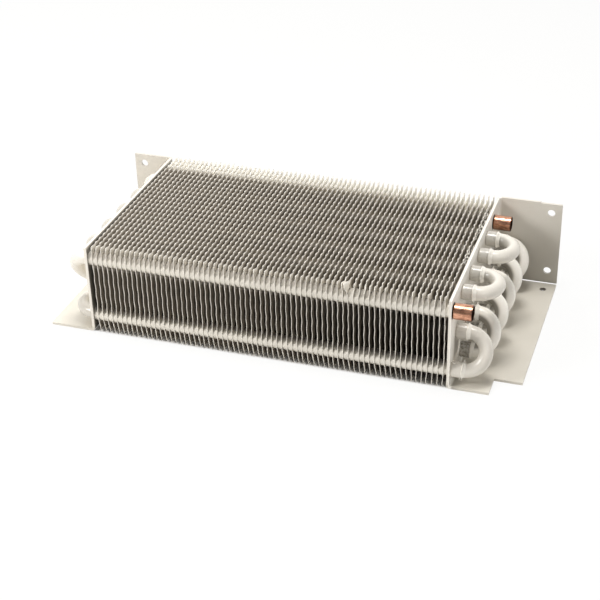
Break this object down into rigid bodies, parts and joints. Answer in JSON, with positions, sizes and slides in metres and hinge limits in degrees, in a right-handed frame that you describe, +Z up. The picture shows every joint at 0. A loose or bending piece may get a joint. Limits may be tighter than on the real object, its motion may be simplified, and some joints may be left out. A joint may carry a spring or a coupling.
{
  "type": "evaporator coil",
  "caption": "Finned tube evaporator coil: serpentine tubes through a block of rippled fins, bent end plates with fixing flanges, return bends and two open copper stubs.",
  "frame": {"origin": "on the surface that the flanges stand on, under the middle of the whole part", "axes": "+X along the tubes towards the open stubs, +Y from the front to the back flanges, +Z up"},
  "size_m": [0.3338, 0.1532, 0.0672],
  "materials": {
    "plate_coat": "satin off-white coating on steel sheet",
    "tube_coat": "satin off-white coating on copper tube",
    "stub_copper": "bare drawn copper at the stubs, coated elsewhere",
    "braze_coat": "coated braze bead",
    "fin_coat": "satin off-white coating on aluminium fin"
  },
  "bodies": {
    "root": {"right_end_plate": "plate_coat", "left_end_plate": "plate_coat", "hairpin_1": "stub_copper", "hairpin_2": "tube_coat", "hairpin_3": "tube_coat", "hairpin_4": "tube_coat", "hairpin_5": "tube_coat", "hairpin_6": "tube_coat", "hairpin_7": "tube_coat", "hairpin_8": "tube_coat", "hairpin_9": "stub_copper", "return_bend_1": "tube_coat", "return_bend_2": "tube_coat", "return_bend_3": "tube_coat", "return_bend_4": "tube_coat", "return_bend_5": "tube_coat", "return_bend_6": "tube_coat", "return_bend_7": "tube_coat", "return_bend_8": "tube_coat", "braze_rings_1": "braze_coat", "braze_rings_2": "braze_coat", "braze_rings_3": "braze_coat", "braze_rings_4": "braze_coat", "braze_rings_5": "braze_coat", "braze_rings_6": "braze_coat", "braze_rings_7": "braze_coat", "braze_rings_8": "braze_coat", "fins_01": "fin_coat", "fins_02": "fin_coat", "fins_03": "fin_coat", "fins_04": "fin_coat", "fins_05": "fin_coat", "fins_06": "fin_coat", "fins_07": "fin_coat", "fins_08": "fin_coat", "fins_09": "fin_coat", "fins_10": "fin_coat"}
  },
  "joints": []
}
